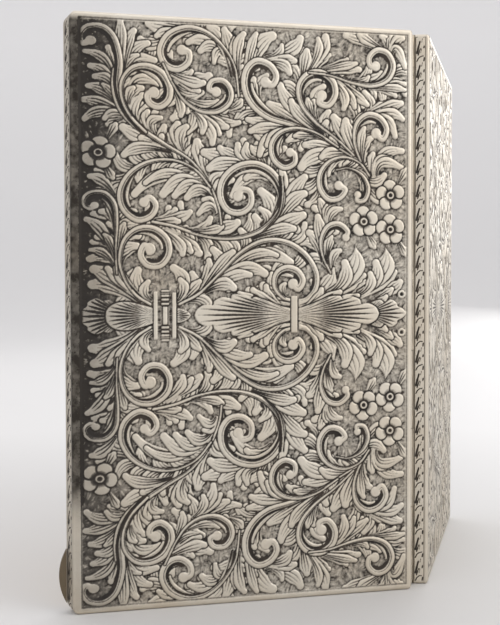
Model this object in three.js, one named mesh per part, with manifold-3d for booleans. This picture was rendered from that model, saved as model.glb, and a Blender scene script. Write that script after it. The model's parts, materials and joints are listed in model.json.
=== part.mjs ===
// Engraved silver business card case, standing open on its short end like a book.
// Two shallow half-cases turn on a full-height pin hinge; the back half carries a
// sprung card retainer. Millimetres, +Z up, front cover facing -Y.
//
// Both halves are drawn in one "half frame": the hinge axis is the Z axis, the
// parting plane is y = 0, the outer face lies at y = -HALF_DEPTH and the opening
// edge at x = -WIDTH. The back half is the same half turned over and swung open.

import * as THREE from 'three';
import Module from 'manifold-3d';
import { mergeVertices } from 'three/addons/utils/BufferGeometryUtils.js';

const wasm = await Module();
wasm.setup();

// ---------------------------------------------------------------- dimensions

const LENGTH = 96;
const WIDTH = 59.4;
const HALF_DEPTH = 3.6;
const OPEN_ANGLE = THREE.MathUtils.degToRad(118.8);

const PLATE = 0.7;
const WALL = 0.6;
const LINING = 0.25;
const WALL_LEAN = 0.7;
const EDGE_ROUND = 1.1;
const CORNER_ROUND = 1.2;
const SEAM = 0.04;

const PIN_RADIUS = 0.45;
const BORE_RADIUS = 0.5;
const KNUCKLE_RADIUS = 1.0;
const COVE_RADIUS = 1.15;
const KNUCKLES = 7;
const KNUCKLE_GAP = 0.12;
const BARREL_END = 0.2;
const BEARER_WIDTH = 1.7;
const BEARER_DEPTH = 2.0;

const BEZEL_RISE = 1.2;
const BEZEL_ROOT = 0.9;
const BEZEL_SHEET = 0.4;
const BEZEL_SLIDE = 0.12;
const BEZEL_HINGE_END = 4.5;

const LIP_START = 1.2;
const LIP_LENGTH = 8.9;
const LIP_REACH = 1.2;
const LIP_SHEET = 0.5;

const SPRING_LENGTH = 24;
const SPRING_HEIGHT = 1.5;
const SPRING_SHEET = 0.2;
const BEAD_RADIUS = 0.45;
const BEAD_HEIGHT = 0.35;
const RIVET_RADIUS = 0.3;
const RIVET_HEAD = 0.55;
const RIVET_SPACING = 20;
const FIT = 0.05;

const RETAINER_PIVOT_X = -7;
const RETAINER_PIVOT_DEPTH = 1.6;
const RETAINER_REACH = 40;
const RETAINER_SPAN = 66;
const RETAINER_LEG = 2;
const RETAINER_BAR = 2.6;
const RETAINER_SHEET = 0.5;
const ROD_RADIUS = 0.5;
const LUG_SPACING = 70;
const LUG_SHEET = 1.2;
const LUG_WIDTH = 2.2;
const LUG_TOP = 0.75;
const COIL_RADIUS = 0.72;
const COIL_WIRE = 0.12;
const COIL_PITCH = 0.32;
const COIL_TURNS = 5;
const COIL_TAIL = 2.2;
const COIL_CLEARANCE = 0.6;

// ----------------------------------------------------------------- materials

const finish = (color, roughness) => () =>
  new THREE.MeshStandardMaterial({ color, roughness, metalness: 1 });

const engravedSilver = finish(0xb9b2a4, 0.42);
const plainSilver = finish(0xcfc8ba, 0.25);
const gilt = finish(0xc9a35a, 0.3);
const springSteel = finish(0x9b9a96, 0.35);

// ------------------------------------------------------------- solid helpers

function solidOf(geometry) {
  const bare = geometry.index ? geometry.toNonIndexed() : geometry.clone();
  bare.deleteAttribute('normal');
  bare.deleteAttribute('uv');
  const merged = mergeVertices(bare, 1e-5);
  const vertProperties = new Float32Array(merged.attributes.position.array);
  const triVerts = new Uint32Array(merged.index.array);
  return new wasm.Manifold(new wasm.Mesh({ numProp: 3, vertProperties, triVerts }));
}

function geometryOf(solid) {
  const mesh = solid.getMesh();
  const geometry = new THREE.BufferGeometry();
  geometry.setAttribute('position', new THREE.BufferAttribute(mesh.vertProperties, 3));
  geometry.setIndex(new THREE.BufferAttribute(mesh.triVerts, 1));
  geometry.computeVertexNormals();
  return geometry;
}

function block([x0, x1], [y0, y1], [z0, z1]) {
  const geometry = new THREE.BoxGeometry(x1 - x0, y1 - y0, z1 - z0);
  geometry.translate((x0 + x1) / 2, (y0 + y1) / 2, (z0 + z1) / 2);
  return solidOf(geometry);
}

// A section drawn in X and Y, run up Z.
function prismUp(points, [z0, z1]) {
  const shape = new THREE.Shape(points.map(([x, y]) => new THREE.Vector2(x, y)));
  const geometry = new THREE.ExtrudeGeometry(shape, { depth: z1 - z0, bevelEnabled: false });
  geometry.translate(0, 0, z0);
  return solidOf(geometry);
}

// An outline drawn in X and Z, given thickness from y0 to y1.
function sheetAcross(shape, [y0, y1], curveSegments = 6) {
  const options = { depth: y1 - y0, bevelEnabled: false, curveSegments };
  const geometry = new THREE.ExtrudeGeometry(shape, options);
  geometry.rotateX(Math.PI / 2);
  geometry.translate(0, y1, 0);
  return solidOf(geometry);
}

function rodUp(radius, [z0, z1], x = 0, y = 0, segments = 24) {
  const geometry = new THREE.CylinderGeometry(radius, radius, z1 - z0, segments);
  geometry.rotateX(Math.PI / 2);
  geometry.translate(x, y, (z0 + z1) / 2);
  return solidOf(geometry);
}

function rodAcross(radius, [x0, x1], y, z, segments = 16) {
  const geometry = new THREE.CylinderGeometry(radius, radius, x1 - x0, segments);
  geometry.rotateZ(Math.PI / 2);
  geometry.translate((x0 + x1) / 2, y, z);
  return solidOf(geometry);
}

function roundedRectangle([x0, x1], [z0, z1], radius) {
  const shape = new THREE.Shape();
  shape.moveTo(x0 + radius, z0);
  shape.lineTo(x1 - radius, z0);
  shape.absarc(x1 - radius, z0 + radius, radius, -Math.PI / 2, 0);
  shape.lineTo(x1, z1 - radius);
  shape.absarc(x1 - radius, z1 - radius, radius, 0, Math.PI / 2);
  shape.lineTo(x0 + radius, z1);
  shape.absarc(x0 + radius, z1 - radius, radius, Math.PI / 2, Math.PI);
  shape.lineTo(x0, z0 + radius);
  shape.absarc(x0 + radius, z0 + radius, radius, Math.PI, Math.PI * 1.5);
  return shape;
}

// How far the side walls have leaned inwards at a depth below the parting plane.
const leanAt = (depth) => (WALL_LEAN * depth) / HALF_DEPTH;

// A four-sided section between two depths whose sides follow the leaning walls:
// its opening side keeps `left` and its hinge side keeps `right` from the wall's face.
function leaningSection(top, bottom, left, right) {
  return [
    [-WIDTH + left + leanAt(bottom), -bottom],
    [-right - leanAt(bottom), -bottom],
    [-right - leanAt(top), -top],
    [-WIDTH + left + leanAt(top), -top],
  ];
}

const cove = () => rodUp(COVE_RADIUS, [-1, LENGTH + 1], 0, 0, 32);

// -------------------------------------------------------- pieces of one half

// Outer panel: flat sheet with its edges turned over a small radius.
function coverPlate() {
  const edge = leanAt(HALF_DEPTH - EDGE_ROUND);
  const outline = roundedRectangle(
    [-WIDTH + edge + EDGE_ROUND, -edge - EDGE_ROUND],
    [EDGE_ROUND, LENGTH - EDGE_ROUND],
    CORNER_ROUND - EDGE_ROUND,
  );
  const geometry = new THREE.ExtrudeGeometry(outline, {
    depth: 1,
    curveSegments: 3,
    bevelThickness: EDGE_ROUND,
    bevelSize: EDGE_ROUND,
    bevelSegments: 4,
  });
  geometry.rotateX(Math.PI / 2);
  geometry.translate(0, -HALF_DEPTH + EDGE_ROUND + 1, 0);
  const tray = leaningSection(-1, HALF_DEPTH - PLATE, WALL, WALL);
  const beyond = block([-WIDTH - 1, 1], [-HALF_DEPTH + EDGE_ROUND, 1], [-1, LENGTH + 1]);
  return solidOf(geometry).subtract(beyond).subtract(prismUp(tray, [WALL, LENGTH - WALL]));
}

// Four side walls bent from one strip, coved along the hinge to clear the barrel.
function sideWalls() {
  const depth = HALF_DEPTH - EDGE_ROUND - SEAM;
  const corners = roundedRectangle([-WIDTH, 0], [0, LENGTH], CORNER_ROUND);
  return prismUp(leaningSection(0, depth, 0, 0), [0, LENGTH])
    .intersect(sheetAcross(corners, [-HALF_DEPTH, 1]))
    .subtract(prismUp(leaningSection(-1, HALF_DEPTH, WALL, WALL), [WALL, LENGTH - WALL]))
    .subtract(cove());
}

// Gilt inner tray lying on the panel, with upstands that follow the walls.
function liningTray(top) {
  const side = WALL + SEAM;
  const floor = HALF_DEPTH - PLATE - SEAM;
  const hingeSide = BEARER_WIDTH + SEAM;
  const left = (depth, inset) => -WIDTH + side + leanAt(depth) + inset;
  const section = (depth, inset) => [
    [left(depth, inset), -depth],
    [-hingeSide - inset, -depth],
    [-hingeSide - inset, -top + inset],
    [left(top, inset), -top + inset],
  ];
  const outer = prismUp(section(floor, 0), [side, LENGTH - side]);
  const inner = [side + LINING, LENGTH - side - LINING];
  return outer.subtract(prismUp(section(floor - LINING, LINING), inner));
}

// Strip soldered inside the hinge wall; with the wall it forms the barrel's seat.
function hingeBearer() {
  const face = WALL + SEAM;
  const section = [
    [-BEARER_WIDTH, -BEARER_DEPTH],
    [-face - leanAt(BEARER_DEPTH), -BEARER_DEPTH],
    [-face, -SEAM],
    [-BEARER_WIDTH, -SEAM],
  ];
  return prismUp(section, [face, LENGTH - face]).subtract(cove());
}

// One knuckle: a tube with a web that fills the cove of the half it belongs to.
function knuckle(index) {
  const pitch = (LENGTH - 2 * BARREL_END) / KNUCKLES;
  const start = BARREL_END + index * pitch + KNUCKLE_GAP / 2;
  const span = [start, start + pitch - KNUCKLE_GAP];
  const webRadius = COVE_RADIUS - SEAM;
  const reach = [-COVE_RADIUS, -KNUCKLE_GAP];
  const web = rodUp(webRadius, span, 0, 0, 32).intersect(block(reach, reach, span));
  return rodUp(KNUCKLE_RADIUS, span).add(web).subtract(rodUp(BORE_RADIUS, [-1, LENGTH + 1]));
}

function hingePin() {
  const start = BARREL_END + KNUCKLE_GAP;
  const end = LENGTH - start;
  const ease = 0.1;
  const profile = [
    [0, start],
    [PIN_RADIUS - ease, start],
    [PIN_RADIUS, start + ease],
    [PIN_RADIUS, end - ease],
    [PIN_RADIUS - ease, end],
    [0, end],
  ].map(([r, y]) => new THREE.Vector2(r, y));
  const geometry = new THREE.LatheGeometry(profile, 20);
  geometry.rotateX(Math.PI / 2);
  geometry.scale(1, -1, 1);
  geometry.index.array.reverse();
  return solidOf(geometry);
}

// ---------------------------------------------------- pieces of the front half

const bezelInner = WALL + SEAM + leanAt(BEZEL_ROOT) + BEZEL_SHEET;
const beadPlace = [BEAD_HEIGHT, LENGTH / 2];
const rivetHeights = [-RIVET_SPACING / 2, RIVET_SPACING / 2].map((offset) => LENGTH / 2 + offset);

// Raised flange on three sides that enters the back half when the case shuts.
function snapBezel() {
  const outer = [
    [-WIDTH + WALL + SEAM + leanAt(BEZEL_ROOT), -BEZEL_ROOT],
    [-BEZEL_HINGE_END, -BEZEL_ROOT],
    [-BEZEL_HINGE_END, BEZEL_RISE],
    [-WIDTH + WALL + BEZEL_SLIDE + leanAt(BEZEL_RISE), BEZEL_RISE],
    [-WIDTH + WALL + BEZEL_SLIDE, 0],
  ];
  const low = WALL + BEZEL_SLIDE;
  const inside = block(
    [-WIDTH + bezelInner, 1],
    [-HALF_DEPTH, HALF_DEPTH],
    [low + BEZEL_SHEET, LENGTH - low - BEZEL_SHEET],
  );
  const through = [-WIDTH, -WIDTH + BEZEL_HINGE_END];
  const holes = rivetHeights.map((z) => rodAcross(RIVET_RADIUS + FIT, through, BEAD_HEIGHT, z));
  const beadHole = rodAcross(BEAD_RADIUS + FIT, through, ...beadPlace);
  const bezel = prismUp(outer, [low, LENGTH - low]).subtract(inside).subtract(beadHole);
  return holes.reduce((rest, hole) => rest.subtract(hole), bezel);
}

// Leaf spring behind the bezel whose bead stands through it and grips the back wall.
function catchSpring() {
  const face = -WIDTH + bezelInner + SEAM;
  const leaf = block(
    [face, face + SPRING_SHEET],
    [BEAD_HEIGHT - SPRING_HEIGHT / 2, BEAD_HEIGHT + SPRING_HEIGHT / 2],
    [(LENGTH - SPRING_LENGTH) / 2, (LENGTH + SPRING_LENGTH) / 2],
  );
  const tip = -WIDTH + WALL + leanAt(BEAD_HEIGHT) + FIT;
  const dome = new THREE.SphereGeometry(BEAD_RADIUS, 16, 10);
  dome.translate(tip + BEAD_RADIUS, ...beadPlace);
  const shank = rodAcross(BEAD_RADIUS, [tip + BEAD_RADIUS, face + SPRING_SHEET], ...beadPlace);
  const through = [-WIDTH, -WIDTH + BEZEL_HINGE_END];
  const holes = rivetHeights.map((z) => rodAcross(RIVET_RADIUS + FIT, through, BEAD_HEIGHT, z));
  const inner = block([face + SPRING_SHEET, 0], [-HALF_DEPTH, HALF_DEPTH], [0, LENGTH]);
  const spring = leaf.add(shank).add(solidOf(dome)).subtract(inner);
  return holes.reduce((rest, hole) => rest.subtract(hole), spring);
}

function catchRivet(z) {
  const headFace = -WIDTH + bezelInner + SPRING_SHEET + 2 * SEAM;
  const start = -WIDTH + WALL + BEZEL_SLIDE + leanAt(BEZEL_RISE);
  const shank = rodAcross(RIVET_RADIUS, [start, headFace], BEAD_HEIGHT, z);
  return shank.add(rodAcross(RIVET_HEAD, [headFace, headFace + 0.2], BEAD_HEIGHT, z));
}

// Crescent on the opening edge, pushed by the thumb to spring the case open.
function thumbLip() {
  const half = LIP_LENGTH / 2;
  const radius = (half * half + LIP_REACH * LIP_REACH) / (2 * LIP_REACH);
  const centre = -WIDTH - SEAM + radius - LIP_REACH;
  const middle = LIP_START + half;
  const sweep = Math.asin(half / radius);
  const shape = new THREE.Shape();
  shape.absarc(centre, middle, radius, Math.PI - sweep, Math.PI + sweep);
  shape.closePath();
  return sheetAcross(shape, [-LIP_SHEET - SEAM, -SEAM], 16);
}

// ----------------------------------------------------- pieces of the back half

const lugHeights = [-LUG_SPACING / 2, LUG_SPACING / 2].map((offset) => LENGTH / 2 + offset);

function retainerLug(z) {
  const floor = HALF_DEPTH - PLATE - SEAM - LINING - SEAM;
  const span = [z - LUG_SHEET / 2, z + LUG_SHEET / 2];
  const centre = [RETAINER_PIVOT_X, -RETAINER_PIVOT_DEPTH];
  const half = LUG_WIDTH / 2;
  const shape = new THREE.Shape();
  shape.moveTo(centre[0] - half, -floor);
  shape.lineTo(centre[0] + half, -floor);
  shape.lineTo(centre[0] + half, centre[1]);
  shape.absarc(centre[0], centre[1], half, 0, Math.PI);
  const options = { depth: LUG_SHEET, bevelEnabled: false, curveSegments: 10 };
  const geometry = new THREE.ExtrudeGeometry(shape, options);
  geometry.translate(0, 0, span[0]);
  const head = block([-WIDTH, 0], [-LUG_TOP, 1], [0, LENGTH]);
  const bore = rodUp(ROD_RADIUS + FIT, [0, LENGTH], ...centre);
  return solidOf(geometry).subtract(head).subtract(bore);
}

function retainerRod() {
  const end = (LUG_SPACING + LUG_SHEET) / 2 + 0.4;
  const span = [LENGTH / 2 - end, LENGTH / 2 + end];
  return rodUp(ROD_RADIUS, span, RETAINER_PIVOT_X, -RETAINER_PIVOT_DEPTH, 20);
}

// Flat three-sided frame soldered to the rod; its long bar lies over the cards.
function retainerFrame() {
  const low = (LENGTH - RETAINER_SPAN) / 2;
  const high = LENGTH - low;
  const far = RETAINER_PIVOT_X - RETAINER_REACH;
  const thickness = [
    -RETAINER_PIVOT_DEPTH - RETAINER_SHEET / 2,
    -RETAINER_PIVOT_DEPTH + RETAINER_SHEET / 2,
  ];
  const outer = roundedRectangle([far, RETAINER_PIVOT_X + 2], [low, high], 1.8);
  const inner = roundedRectangle(
    [far + RETAINER_BAR, RETAINER_PIVOT_X + 4],
    [low + RETAINER_LEG, high - RETAINER_LEG],
    1.2,
  );
  const pivotSide = block([RETAINER_PIVOT_X - ROD_RADIUS - SEAM, 0], [-9, 9], [0, LENGTH]);
  return sheetAcross(outer, thickness)
    .subtract(sheetAcross(inner, [-HALF_DEPTH, 0]))
    .subtract(pivotSide);
}

// A torsion spring's wire: a straight tail, the turns round the rod and a second tail.
class CoilPath extends THREE.Curve {
  constructor(start) {
    super();
    this.start = start;
    this.turnLength = COIL_TURNS * Math.hypot(2 * Math.PI * COIL_RADIUS, COIL_PITCH);
    this.length = this.turnLength + 2 * COIL_TAIL;
  }

  getPoint(t, target = new THREE.Vector3()) {
    const run = t * this.length - COIL_TAIL;
    const onCoil = THREE.MathUtils.clamp(run, 0, this.turnLength);
    const angle = Math.PI / 2 + (2 * Math.PI * COIL_TURNS * onCoil) / this.turnLength;
    const rise = (COIL_TURNS * COIL_PITCH * run) / this.turnLength;
    const tail = Math.abs(run - onCoil);
    return target.set(
      RETAINER_PIVOT_X + COIL_RADIUS * Math.cos(angle) - Math.sign(run - onCoil) * tail,
      -RETAINER_PIVOT_DEPTH + COIL_RADIUS * Math.sin(angle),
      this.start + rise,
    );
  }
}

function retainerSpring(start) {
  const section = new THREE.Shape();
  section.absarc(0, 0, COIL_WIRE, 0, 2 * Math.PI);
  const geometry = new THREE.ExtrudeGeometry(section, {
    steps: 84,
    curveSegments: 3,
    bevelEnabled: false,
    extrudePath: new CoilPath(start),
  });
  return solidOf(geometry);
}

// ------------------------------------------------------------------ assembly

function addPiece(parent, name, solid, material) {
  const mesh = new THREE.Mesh(geometryOf(solid), material());
  mesh.name = name;
  parent.add(mesh);
}

function addKnuckles(parent, prefix, first) {
  let number = 1;
  for (let index = first; index < KNUCKLES; index += 2) {
    addPiece(parent, `${prefix}_${number}`, knuckle(index), plainSilver);
    number += 1;
  }
}

const frontHalf = new THREE.Group();
addPiece(frontHalf, 'front_cover_plate', coverPlate(), engravedSilver);
addPiece(frontHalf, 'front_side_walls', sideWalls(), engravedSilver);
addPiece(frontHalf, 'front_lining', liningTray(BEZEL_ROOT + SEAM), gilt);
addPiece(frontHalf, 'front_hinge_bearer', hingeBearer(), plainSilver);
addKnuckles(frontHalf, 'front_knuckle', 0);
addPiece(frontHalf, 'hinge_pin', hingePin(), springSteel);
addPiece(frontHalf, 'snap_bezel', snapBezel(), gilt);
addPiece(frontHalf, 'catch_spring', catchSpring(), springSteel);
addPiece(frontHalf, 'catch_rivet_lower', catchRivet(rivetHeights[0]), gilt);
addPiece(frontHalf, 'catch_rivet_upper', catchRivet(rivetHeights[1]), gilt);
addPiece(frontHalf, 'thumb_lip', thumbLip(), plainSilver);

// The back half is the same half turned over about its mid-length.
const backHalf = new THREE.Group();
backHalf.rotation.x = Math.PI;
backHalf.position.z = LENGTH;
addPiece(backHalf, 'back_cover_plate', coverPlate(), engravedSilver);
addPiece(backHalf, 'back_side_walls', sideWalls(), engravedSilver);
addPiece(backHalf, 'back_lining', liningTray(BEZEL_RISE + FIT), gilt);
addPiece(backHalf, 'back_hinge_bearer', hingeBearer(), plainSilver);
addKnuckles(backHalf, 'back_knuckle', 1);
addPiece(backHalf, 'retainer_lug_upper', retainerLug(lugHeights[0]), gilt);
addPiece(backHalf, 'retainer_lug_lower', retainerLug(lugHeights[1]), gilt);
addPiece(backHalf, 'retainer_rod', retainerRod(), gilt);
addPiece(backHalf, 'retainer_frame', retainerFrame(), gilt);
const springStart = (LENGTH - RETAINER_SPAN) / 2 + RETAINER_LEG + COIL_CLEARANCE;
const springHeight = COIL_TURNS * COIL_PITCH;
addPiece(backHalf, 'retainer_spring_upper', retainerSpring(springStart), springSteel);
const lowerStart = LENGTH - springStart - springHeight;
addPiece(backHalf, 'retainer_spring_lower', retainerSpring(lowerStart), springSteel);

const opened = new THREE.Group();
opened.rotation.z = -OPEN_ANGLE;
opened.add(backHalf);

const cardCase = new THREE.Group();
cardCase.add(frontHalf, opened);

// Origin under the middle of the open case, on the surface that it stands on.
const box = new THREE.Box3().setFromObject(cardCase, true);
const middle = box.getCenter(new THREE.Vector3());
cardCase.position.set(-middle.x, -middle.y, -box.min.z);

export default cardCase;
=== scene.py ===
"""Looks of an engraved silver card case, standing open on its short end.

The outer panels carry a cut relief of acanthus scrolls. It is drawn here as height and
oxide maps in millimetres, from listed stems and leaves, and laid over the panels.
"""
import json
import math

import bpy
import numpy as np
from mathutils import Matrix, Vector


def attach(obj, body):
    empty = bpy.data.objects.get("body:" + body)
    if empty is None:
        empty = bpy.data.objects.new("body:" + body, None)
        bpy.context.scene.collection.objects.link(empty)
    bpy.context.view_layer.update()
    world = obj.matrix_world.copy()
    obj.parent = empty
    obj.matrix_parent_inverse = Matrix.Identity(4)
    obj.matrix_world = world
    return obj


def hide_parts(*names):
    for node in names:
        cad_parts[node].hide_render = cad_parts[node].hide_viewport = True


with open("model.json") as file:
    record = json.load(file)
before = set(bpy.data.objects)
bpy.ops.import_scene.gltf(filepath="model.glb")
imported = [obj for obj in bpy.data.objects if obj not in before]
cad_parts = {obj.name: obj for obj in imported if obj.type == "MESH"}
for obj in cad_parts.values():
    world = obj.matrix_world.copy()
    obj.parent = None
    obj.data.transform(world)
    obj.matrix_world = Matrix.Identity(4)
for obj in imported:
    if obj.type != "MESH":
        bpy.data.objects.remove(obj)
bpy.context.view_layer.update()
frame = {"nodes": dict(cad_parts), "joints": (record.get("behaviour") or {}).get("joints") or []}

MM = 0.001

# ---- dimensions, mm
LENGTH = 96.0
WIDTH = 59.4
HALF_DEPTH = 3.6
OPEN_ANGLE = 118.8
WALL = 0.6
WALL_LEAN = 0.7
PLATE = 0.7
EDGE = 0.6            # round of the panel's edge and of the hinge-side corners
CORNER = 1.7          # round of the opening-side corners
PARTING = 0.02        # gap that each half's rim keeps to the parting plane
SEAM = 0.04           # gap between the panel and the walls that it lies on
COVE = 1.15           # radius of the cove that the hinge knuckles lie in
RIM_DEPTH = HALF_DEPTH - EDGE
FRONT_PITCH = 0.14    # mesh spacing of the front cover and of all the side walls
BACK_PITCH = 0.17     # mesh spacing of the back cover
FAN = 7               # points round each quarter turn

CELL = 0.05           # one cell of the drawn maps
PANEL_WIDTH = 58.7    # the drawing's X runs from the opening edge
MIRROR = 47.75        # height of the drawing's mirror line
FLOOR = 43.75         # lowest height that is drawn; what lies under the mirror is a copy
MID = MIRROR - FLOOR  # the mirror line in the drawn maps
FIELD_LEFT, FIELD_RIGHT = 1.25, 57.0    # the engraved field inside its plain border
FIELD_LOW, FIELD_HIGH = 1.0, 94.95
STRETCH = 0.6         # how far the drawing is drawn out towards the opening edge
STRETCH_OVER = 5.0    # width of the part that is drawn out

GROUND = -0.17        # heights of the cut ground, the leaves and the cuts round them
LEAF = 0.0
CUT = -0.13
OUTLINE = 0.085       # width of a leaf's dark outline
GROOVE = 0.09         # width and depth of the cut along it
GROOVE_DEPTH = 0.14
VEIN_DEPTH = 0.1
VEIN_TONE = 0.95

LOBE_HALF = 0.62      # a lobe's listed half width when none is given
LOBE_SHARP = 0.42     # share of its width that it loses towards its tip
LOBE_BEND = 0.70      # how long it keeps its first heading
FILL_STEP = 2.0       # the leaves that fill in along a scroll: spacing, length, half width
FILL_LENGTH = 4.9
FILL_HALF = 0.58
FILL_END = 0.62       # share of the scroll that carries them
STEM_ROOT = 1.1       # scrolls are drawn wider than listed, by these factors
STEM_END = 1.22
EYE = 1.15

BORDER_UNIT = 4.15    # length of one leaf of the running border on the side walls
BORDER_WIDTH = 2.15
BORDER_DEPTH = 0.10
BORDER_FOOT = BORDER_WIDTH + 0.18       # from the walls' foot to the border's far line
RIM_CHAMFER = 0.06

# ---- engraving: listed foliage, mm
# points of each scroll, half width at its root, half width at its end, radius of its eye
STEMS = [
  # trunk A and the top left volute
  ([(24.4, 62.6), (23.9, 65.6), (22.2, 69.4), (19.2, 72.9), (15.0, 75.4), (11.2, 77.9), (8.7, 81.0),
    (7.7, 84.5), (7.9, 88.5), (7.0, 92.0), (5.2, 93.7), (3.2, 93.6), (2.1, 92.2), (2.5, 90.9),
    (3.6, 91.4)], .2, .42, .75),
  # S2
  ([(12.0, 77.2), (9.6, 79.6), (8.2, 82.4), (8.2, 85.2), (9.8, 87.3), (12.2, 87.8), (14.6, 86.8),
    (15.9, 84.6), (15.7, 82.6), (14.2, 81.4), (12.7, 81.9), (12.3, 83.1), (13.3, 83.6)], .25, .5, .85),
  # S3
  ([(27.4, 83.5), (26.7, 88.2), (24.6, 91.6), (21.8, 93.7), (18.6, 94.2), (15.7, 92.9), (14.4, 90.4),
    (15.2, 88.2), (17.2, 87.5), (18.9, 88.6), (19.1, 90.2), (17.9, 90.6)], .2, .5, .8),
  # S4
  ([(14.8, 88.3), (16.4, 85.2), (18.3, 82.5), (20.8, 81.0), (23.6, 80.9), (25.7, 82.3), (26.1, 84.3),
    (24.9, 85.9), (23.0, 85.8), (22.4, 84.5), (23.6, 84.1)], .2, .42, .78),
  # S5
  ([(22.6, 68.6), (20.2, 71.3), (16.6, 72.8), (12.6, 72.5), (9.4, 70.6), (7.8, 67.7), (8.3, 64.9),
    (10.5, 63.2), (12.7, 63.8), (13.6, 65.5), (12.6, 66.8), (11.6, 66.0)], .2, .45, .75),
  # S6
  ([(12.6, 49.6), (10.3, 51.1), (8.5, 53.6), (7.7, 56.6), (8.4, 59.8), (10.5, 61.7), (13.2, 61.8),
    (15.3, 60.2), (15.7, 57.9), (14.4, 56.0), (12.3, 55.9), (11.1, 57.4), (11.6, 59.0), (12.5, 58.5)],
    .25, .48, .95),
  # S7
  ([(7.2, 54.5), (7.0, 58.5), (7.2, 62.5), (6.9, 65.6), (5.3, 67.4), (3.3, 67.3), (2.4, 65.9),
    (3.3, 64.9), (4.0, 65.4)], .2, .38, .6),
  # S9
  ([(13.0, 62.9), (16.6, 62.2), (20.5, 60.9), (24.6, 60.3), (28.6, 60.7), (32.0, 62.3), (34.4, 65.1),
    (34.8, 68.4), (33.2, 71.2), (30.3, 72.6), (27.0, 72.0), (24.7, 69.8), (24.3, 67.0), (25.6, 64.9),
    (27.8, 64.6), (29.4, 65.9), (29.3, 67.9), (27.8, 68.3), (27.2, 67.2)], .25, .48, .8),
  # S10
  ([(50.3, 71.2), (48.4, 73.4), (45.0, 75.4), (41.0, 77.6), (36.6, 79.2), (32.4, 80.3), (29.7, 82.3),
    (28.4, 85.0), (28.7, 87.8), (30.4, 89.4), (32.6, 88.9), (33.8, 87.2), (33.2, 85.7), (31.9, 86.0)], .2,
    .5, .85),
  # S11
  ([(47.4, 74.4), (44.2, 77.2), (40.6, 79.8), (38.2, 82.6), (37.7, 85.4), (39.1, 87.5), (41.5, 88.0),
    (43.6, 86.7), (44.1, 84.5), (42.9, 82.7), (41.3, 83.0), (41.7, 84.2)], .2, .5, .85),
  # S12
  ([(39.4, 87.9), (43.2, 87.6), (47.0, 86.6), (50.6, 86.2), (53.4, 87.3), (54.5, 89.6), (53.5, 91.7),
    (51.6, 92.2), (50.2, 91.0), (50.3, 89.6), (51.3, 89.5)], .2, .45, .8),
  # S13
  ([(50.3, 70.8), (48.4, 74.0), (47.5, 77.0), (48.0, 79.8), (49.9, 81.3), (52.1, 80.8), (53.3, 79.0),
    (52.6, 77.3), (51.4, 78.2)], .2, .48, .85),
  # S14
  ([(44.6, 75.7), (41.0, 77.8), (37.6, 78.6), (34.6, 77.9), (33.0, 75.9), (33.3, 73.5), (35.1, 72.1),
    (36.9, 72.8), (37.0, 74.3), (36.2, 74.6)], .2, .42, .72),
  # S15
  ([(50.2, 71.0), (48.6, 73.0), (45.9, 74.0), (43.2, 73.3), (41.5, 71.3), (41.4, 68.9), (42.8, 67.1),
    (44.8, 67.2), (45.9, 68.6), (44.7, 69.3)], .2, .45, .75),
  # S16
  ([(44.2, 71.9), (46.6, 72.2), (48.9, 71.1), (50.0, 69.0), (49.4, 67.0), (48.0, 66.8), (48.1, 67.8)],
    .15, .36, .6),
  # S17
  ([(43.3, 54.6), (42.0, 57.2), (41.6, 60.0), (42.7, 62.3), (44.7, 62.9), (46.3, 61.7), (46.0, 60.6)], .2,
    .42, .65),
  # S18a
  ([(17.4, 49.6), (20.8, 51.4), (24.2, 54.6), (27.6, 57.9), (31.4, 59.9), (35.4, 59.8), (38.7, 57.9),
    (40.7, 54.9), (40.7, 52.2), (39.2, 50.3), (37.0, 49.6)], .25, .40, 0),
  # S18b
  ([(37.2, 49.9), (34.9, 50.6), (33.5, 52.4), (33.8, 54.5), (35.5, 55.5), (37.4, 55.0), (38.4, 53.4),
    (37.6, 52.0), (36.7, 52.8)], .3, .5, .85),
  # S19: stem of the spray left of the S9 ring
  ([(31.6, 61.5), (34.2, 64.4), (34.9, 68.0), (34.7, 71.0)], .1, .18, 0),
]

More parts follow.
